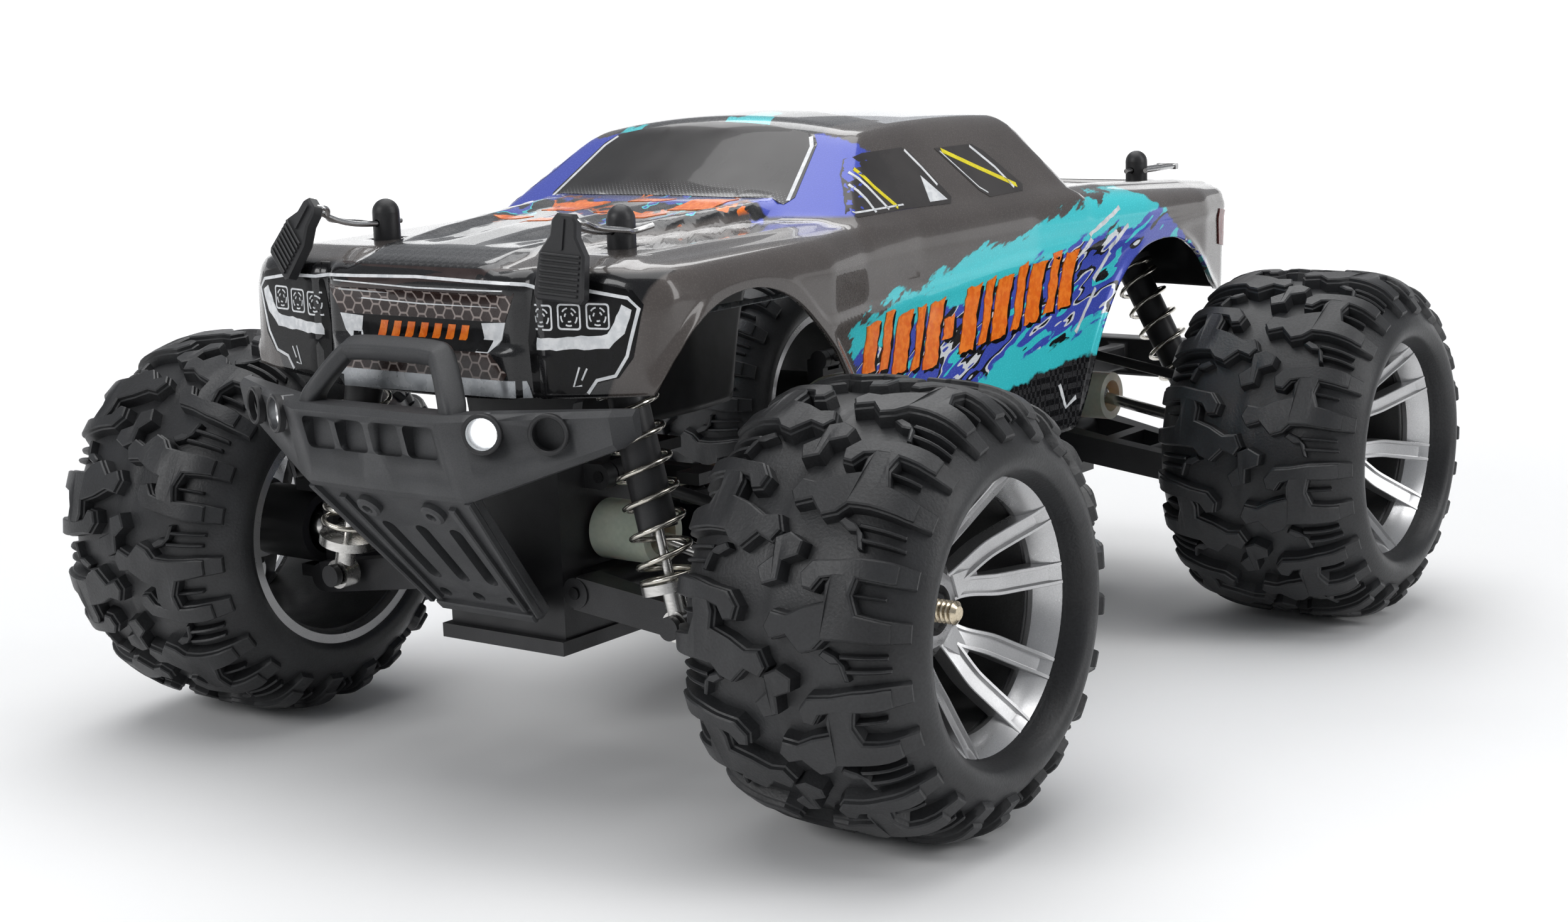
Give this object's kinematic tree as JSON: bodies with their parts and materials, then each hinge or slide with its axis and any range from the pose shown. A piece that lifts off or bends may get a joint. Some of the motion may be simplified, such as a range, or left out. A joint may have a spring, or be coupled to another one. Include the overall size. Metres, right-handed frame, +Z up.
{
  "type": "radio controlled monster truck",
  "caption": "Radio-controlled monster truck: painted pickup body, independent suspension with coil-over dampers, steering, four-wheel drive and ballooned off-road tyres.",
  "frame": {"origin": "on the ground midway between the axles, under the centre line", "axes": "+Z up, the truck heads along -Y, +X is its left side"},
  "size_m": [0.2326, 0.295, 0.1345],
  "materials": {
    "shell_paint": "metallic paint under clear polycarbonate, with a printed livery",
    "black_plastic": "fine moulded texture",
    "grey_plastic": "fine moulded texture",
    "lamp_lens": "clear lens, lit white",
    "motor_can": "drawn steel can",
    "battery_wrap": "shrink wrap",
    "blue_plastic": "moulded case",
    "black_steel": "black oxide",
    "clip_wire": "bright wire, black rubber tabs on the front pair",
    "bright_steel": "ground steel",
    "spring_wire": "nickel plated",
    "nylon": "natural nylon",
    "tyre_rubber": "matte rubber",
    "rim_silver": "satin silver plating"
  },
  "bodies": {
    "root": {"chassis_plate": "black_plastic", "front_bumper": "grey_plastic", "bumper_lights": "lamp_lens", "rear_bumper": "grey_plastic", "gearbox_housings": "black_plastic", "shock_towers": "black_plastic", "body_posts": "black_plastic", "drive_motor": "motor_can", "steering_servo": "black_plastic", "battery_pack": "battery_wrap", "receiver_esc": "blue_plastic", "screws_and_pins": "black_steel"},
    "body_shell": {"body_shell": "shell_paint"},
    "body_clips_front": {"body_clips_front": "clip_wire"},
    "body_clips_rear": {"body_clips_rear": "clip_wire"},
    "steering_crank": {"steering_crank": "black_plastic"},
    "steering_link": {"steering_link": "black_plastic"},
    "lower_arm_front_left": {"lower_arm_front_left": "black_plastic"},
    "upper_link_front_left": {"upper_link_front_left": "black_plastic"},
    "c_hub_front_left": {"c_hub_front_left": "black_plastic"},
    "knuckle_front_left": {"knuckle_front_left": "black_plastic"},
    "tie_rod_left": {"tie_rod_left": "black_steel"},
    "wheel_front_left": {"tyre_front_left": "tyre_rubber", "rim_front_left": "rim_silver"},
    "dogbone_front_left": {"dogbone_front_left": "bright_steel"},
    "shock_body_front_left": {"shock_body_front_left": "black_plastic"},
    "shock_shaft_front_left": {"shock_shaft_front_left": "bright_steel", "spring_front_left": "spring_wire"},
    "lower_arm_front_right": {"lower_arm_front_right": "black_plastic"},
    "upper_link_front_right": {"upper_link_front_right": "black_plastic"},
    "c_hub_front_right": {"c_hub_front_right": "black_plastic"},
    "knuckle_front_right": {"knuckle_front_right": "black_plastic"},
    "tie_rod_right": {"tie_rod_right": "black_steel"},
    "wheel_front_right": {"tyre_front_right": "tyre_rubber", "rim_front_right": "rim_silver"},
    "dogbone_front_right": {"dogbone_front_right": "bright_steel"},
    "shock_body_front_right": {"shock_body_front_right": "black_plastic"},
    "shock_shaft_front_right": {"shock_shaft_front_right": "bright_steel", "spring_front_right": "spring_wire"},
    "lower_arm_rear_left": {"lower_arm_rear_left": "black_plastic"},
    "upper_link_rear_left": {"upper_link_rear_left": "black_plastic"},
    "rear_hub_rear_left": {"rear_hub_rear_left": "black_plastic"},
    "wheel_rear_left": {"tyre_rear_left": "tyre_rubber", "rim_rear_left": "rim_silver"},
    "dogbone_rear_left": {"dogbone_rear_left": "bright_steel"},
    "shock_body_rear_left": {"shock_body_rear_left": "black_plastic"},
    "shock_shaft_rear_left": {"shock_shaft_rear_left": "bright_steel", "spring_rear_left": "spring_wire"},
    "lower_arm_rear_right": {"lower_arm_rear_right": "black_plastic"},
    "upper_link_rear_right": {"upper_link_rear_right": "black_plastic"},
    "rear_hub_rear_right": {"rear_hub_rear_right": "black_plastic"},
    "wheel_rear_right": {"tyre_rear_right": "tyre_rubber", "rim_rear_right": "rim_silver"},
    "dogbone_rear_right": {"dogbone_rear_right": "bright_steel"},
    "shock_body_rear_right": {"shock_body_rear_right": "black_plastic"},
    "shock_shaft_rear_right": {"shock_shaft_rear_right": "bright_steel", "spring_rear_right": "spring_wire"},
    "front_diff": {"front_diff": "nylon"},
    "rear_diff": {"rear_diff": "nylon"},
    "centre_driveshaft": {"centre_driveshaft": "bright_steel"}
  },
  "joints": [
    {"name": "body_lift", "type": "slide", "parent": "root", "child": "body_shell", "axis": [0, 0, 1], "range_m": [0, 0.12]},
    {"name": "front_clips_pull", "type": "slide", "parent": "body_shell", "child": "body_clips_front", "axis": [0, -1, 0], "range_m": [0, 0.022]},
    {"name": "rear_clips_pull", "type": "slide", "parent": "body_shell", "child": "body_clips_rear", "axis": [0, 1, 0], "range_m": [0, 0.022]},
    {"name": "steering", "type": "hinge", "parent": "root", "child": "steering_crank", "pos_m": [-0.014, -0.068, 0.06], "axis": [0, 0, 1], "range_deg": [-25, 25]},
    {"name": "steering_link_swing", "type": "hinge", "parent": "steering_crank", "child": "steering_link", "pos_m": [-0.014, -0.053, 0.061], "axis": [0, 0, 1], "range_deg": [-25, 25]},
    {"name": "suspension_front_left", "type": "hinge", "parent": "root", "child": "lower_arm_front_left", "pos_m": [0.02, -0.096, 0.0415], "axis": [0, -1, 0], "range_deg": [0, 15], "stiffness_Nm_per_rad": 0.5, "springref_deg": -11.46},
    {"name": "upper_link_front_left_swing", "type": "hinge", "parent": "root", "child": "upper_link_front_left", "pos_m": [0.02, -0.096, 0.064], "axis": [0, -1, 0], "range_deg": [0, 15]},
    {"name": "hub_front_left_level", "type": "hinge", "parent": "lower_arm_front_left", "child": "c_hub_front_left", "pos_m": [0.061, -0.096, 0.0345], "axis": [0, -1, 0], "range_deg": [-15, 0]},
    {"name": "kingpin_front_left", "type": "hinge", "parent": "c_hub_front_left", "child": "knuckle_front_left", "pos_m": [0.07, -0.096, 0.044], "axis": [0, 0, 1], "range_deg": [-25, 25]},
    {"name": "tie_rod_left_swing", "type": "hinge", "parent": "steering_link", "child": "tie_rod_left", "pos_m": [0.029, -0.081, 0.0575], "axis": [0, -1, 0], "range_deg": [0, 15]},
    {"name": "wheel_front_left_spin", "type": "hinge", "parent": "knuckle_front_left", "child": "wheel_front_left", "pos_m": [0.089, -0.096, 0.044], "axis": [1, 0, 0], "continuous": true},
    {"name": "dogbone_front_left_swing", "type": "hinge", "parent": "root", "child": "dogbone_front_left", "pos_m": [0.027, -0.096, 0.052], "axis": [0, -1, 0], "range_deg": [0, 14.49]},
    {"name": "shock_body_front_left_swing", "type": "hinge", "parent": "root", "child": "shock_body_front_left", "pos_m": [0.033, -0.111, 0.097], "axis": [0, -1, 0], "range_deg": [0, 2.08]},
    {"name": "shock_shaft_front_left_slide", "type": "slide", "parent": "shock_body_front_left", "child": "shock_shaft_front_left", "axis": [-0.2378, 0, 0.9713], "range_m": [0, 0.00724], "deforming": ["spring_front_left"]},
    {"name": "suspension_front_right", "type": "hinge", "parent": "root", "child": "lower_arm_front_right", "pos_m": [-0.02, -0.096, 0.0415], "axis": [0, 1, 0], "range_deg": [0, 15], "stiffness_Nm_per_rad": 0.5, "springref_deg": -11.46},
    {"name": "upper_link_front_right_swing", "type": "hinge", "parent": "root", "child": "upper_link_front_right", "pos_m": [-0.02, -0.096, 0.064], "axis": [0, 1, 0], "range_deg": [0, 15]},
    {"name": "hub_front_right_level", "type": "hinge", "parent": "lower_arm_front_right", "child": "c_hub_front_right", "pos_m": [-0.061, -0.096, 0.0345], "axis": [0, 1, 0], "range_deg": [-15, 0]},
    {"name": "kingpin_front_right", "type": "hinge", "parent": "c_hub_front_right", "child": "knuckle_front_right", "pos_m": [-0.07, -0.096, 0.044], "axis": [0, 0, 1], "range_deg": [-25, 25]},
    {"name": "tie_rod_right_swing", "type": "hinge", "parent": "steering_link", "child": "tie_rod_right", "pos_m": [-0.029, -0.081, 0.0575], "axis": [0, 1, 0], "range_deg": [0, 15]},
    {"name": "wheel_front_right_spin", "type": "hinge", "parent": "knuckle_front_right", "child": "wheel_front_right", "pos_m": [-0.089, -0.096, 0.044], "axis": [1, 0, 0], "continuous": true},
    {"name": "dogbone_front_right_swing", "type": "hinge", "parent": "root", "child": "dogbone_front_right", "pos_m": [-0.027, -0.096, 0.052], "axis": [0, 1, 0], "range_deg": [0, 14.49]},
    {"name": "shock_body_front_right_swing", "type": "hinge", "parent": "root", "child": "shock_body_front_right", "pos_m": [-0.033, -0.111, 0.097], "axis": [0, 1, 0], "range_deg": [0, 2.08]},
    {"name": "shock_shaft_front_right_slide", "type": "slide", "parent": "shock_body_front_right", "child": "shock_shaft_front_right", "axis": [0.2378, 0, 0.9713], "range_m": [0, 0.00724], "deforming": ["spring_front_right"]},
    {"name": "suspension_rear_left", "type": "hinge", "parent": "root", "child": "lower_arm_rear_left", "pos_m": [0.02, 0.096, 0.0415], "axis": [0, -1, 0], "range_deg": [0, 15], "stiffness_Nm_per_rad": 0.5, "springref_deg": -11.46},
    {"name": "upper_link_rear_left_swing", "type": "hinge", "parent": "root", "child": "upper_link_rear_left", "pos_m": [0.02, 0.096, 0.064], "axis": [0, -1, 0], "range_deg": [0, 15]},
    {"name": "hub_rear_left_level", "type": "hinge", "parent": "lower_arm_rear_left", "child": "rear_hub_rear_left", "pos_m": [0.061, 0.096, 0.0345], "axis": [0, -1, 0], "range_deg": [-15, 0]},
    {"name": "wheel_rear_left_spin", "type": "hinge", "parent": "rear_hub_rear_left", "child": "wheel_rear_left", "pos_m": [0.089, 0.096, 0.044], "axis": [1, 0, 0], "continuous": true},
    {"name": "dogbone_rear_left_swing", "type": "hinge", "parent": "root", "child": "dogbone_rear_left", "pos_m": [0.027, 0.096, 0.052], "axis": [0, -1, 0], "range_deg": [0, 14.49]},
    {"name": "shock_body_rear_left_swing", "type": "hinge", "parent": "root", "child": "shock_body_rear_left", "pos_m": [0.0245, 0.111, 0.095], "axis": [0, -1, 0], "range_deg": [0, 4.59]},
    {"name": "shock_shaft_rear_left_slide", "type": "slide", "parent": "shock_body_rear_left", "child": "shock_shaft_rear_left", "axis": [-0.4684, 0, 0.8835], "range_m": [0, 0.00825], "deforming": ["spring_rear_left"]},
    {"name": "suspension_rear_right", "type": "hinge", "parent": "root", "child": "lower_arm_rear_right", "pos_m": [-0.02, 0.096, 0.0415], "axis": [0, 1, 0], "range_deg": [0, 15], "stiffness_Nm_per_rad": 0.5, "springref_deg": -11.46},
    {"name": "upper_link_rear_right_swing", "type": "hinge", "parent": "root", "child": "upper_link_rear_right", "pos_m": [-0.02, 0.096, 0.064], "axis": [0, 1, 0], "range_deg": [0, 15]},
    {"name": "hub_rear_right_level", "type": "hinge", "parent": "lower_arm_rear_right", "child": "rear_hub_rear_right", "pos_m": [-0.061, 0.096, 0.0345], "axis": [0, 1, 0], "range_deg": [-15, 0]},
    {"name": "wheel_rear_right_spin", "type": "hinge", "parent": "rear_hub_rear_right", "child": "wheel_rear_right", "pos_m": [-0.089, 0.096, 0.044], "axis": [1, 0, 0], "continuous": true},
    {"name": "dogbone_rear_right_swing", "type": "hinge", "parent": "root", "child": "dogbone_rear_right", "pos_m": [-0.027, 0.096, 0.052], "axis": [0, 1, 0], "range_deg": [0, 14.49]},
    {"name": "shock_body_rear_right_swing", "type": "hinge", "parent": "root", "child": "shock_body_rear_right", "pos_m": [-0.0245, 0.111, 0.095], "axis": [0, 1, 0], "range_deg": [0, 4.59]},
    {"name": "shock_shaft_rear_right_slide", "type": "slide", "parent": "shock_body_rear_right", "child": "shock_shaft_rear_right", "axis": [0.4684, 0, 0.8835], "range_m": [0, 0.00825], "deforming": ["spring_rear_right"]},
    {"name": "front_diff_spin", "type": "hinge", "parent": "root", "child": "front_diff", "pos_m": [0, -0.096, 0.052], "axis": [1, 0, 0], "continuous": true},
    {"name": "rear_diff_spin", "type": "hinge", "parent": "root", "child": "rear_diff", "pos_m": [0, 0.096, 0.052], "axis": [1, 0, 0], "continuous": true},
    {"name": "driveshaft_spin", "type": "hinge", "parent": "root", "child": "centre_driveshaft", "pos_m": [0, 0, 0.052], "axis": [0, 1, 0], "continuous": true}
  ],
  "couplings": [
    {"joint": "steering_link_swing", "follows": "steering", "ratio": -1},
    {"joint": "upper_link_front_left_swing", "follows": "suspension_front_left", "ratio": 1},
    {"joint": "kingpin_front_left", "follows": "steering", "ratio": 1},
    {"joint": "tie_rod_left_swing", "follows": "suspension_front_left", "ratio": 1},
    {"joint": "hub_front_left_level", "follows": "suspension_front_left", "ratio": -1},
    {"joint": "dogbone_front_left_swing", "follows": "suspension_front_left", "ratio": 0.95243},
    {"joint": "shock_body_front_left_swing", "follows": "suspension_front_left", "ratio": 0.12562},
    {"joint": "shock_shaft_front_left_slide", "follows": "suspension_front_left", "m_per_rad": 0.026511},
    {"joint": "upper_link_front_right_swing", "follows": "suspension_front_right", "ratio": 1},
    {"joint": "kingpin_front_right", "follows": "steering", "ratio": 1},
    {"joint": "tie_rod_right_swing", "follows": "suspension_front_right", "ratio": 1},
    {"joint": "hub_front_right_level", "follows": "suspension_front_right", "ratio": -1},
    {"joint": "dogbone_front_right_swing", "follows": "suspension_front_right", "ratio": 0.95243},
    {"joint": "shock_body_front_right_swing", "follows": "suspension_front_right", "ratio": 0.12562},
    {"joint": "shock_shaft_front_right_slide", "follows": "suspension_front_right", "m_per_rad": 0.026511},
    {"joint": "upper_link_rear_left_swing", "follows": "suspension_rear_left", "ratio": 1},
    {"joint": "hub_rear_left_level", "follows": "suspension_rear_left", "ratio": -1},
    {"joint": "dogbone_rear_left_swing", "follows": "suspension_rear_left", "ratio": 0.95243},
    {"joint": "shock_body_rear_left_swing", "follows": "suspension_rear_left", "ratio": 0.293},
    {"joint": "shock_shaft_rear_left_slide", "follows": "suspension_rear_left", "m_per_rad": 0.030363},
    {"joint": "upper_link_rear_right_swing", "follows": "suspension_rear_right", "ratio": 1},
    {"joint": "hub_rear_right_level", "follows": "suspension_rear_right", "ratio": -1},
    {"joint": "dogbone_rear_right_swing", "follows": "suspension_rear_right", "ratio": 0.95243},
    {"joint": "shock_body_rear_right_swing", "follows": "suspension_rear_right", "ratio": 0.293},
    {"joint": "shock_shaft_rear_right_slide", "follows": "suspension_rear_right", "m_per_rad": 0.030363},
    {"joint": "wheel_front_right_spin", "follows": "wheel_front_left_spin", "ratio": 1},
    {"joint": "wheel_rear_left_spin", "follows": "wheel_front_left_spin", "ratio": 1},
    {"joint": "wheel_rear_right_spin", "follows": "wheel_front_left_spin", "ratio": 1},
    {"joint": "front_diff_spin", "follows": "wheel_front_left_spin", "ratio": 1},
    {"joint": "rear_diff_spin", "follows": "wheel_front_left_spin", "ratio": 1},
    {"joint": "driveshaft_spin", "follows": "wheel_front_left_spin", "ratio": -3.5455}
  ]
}
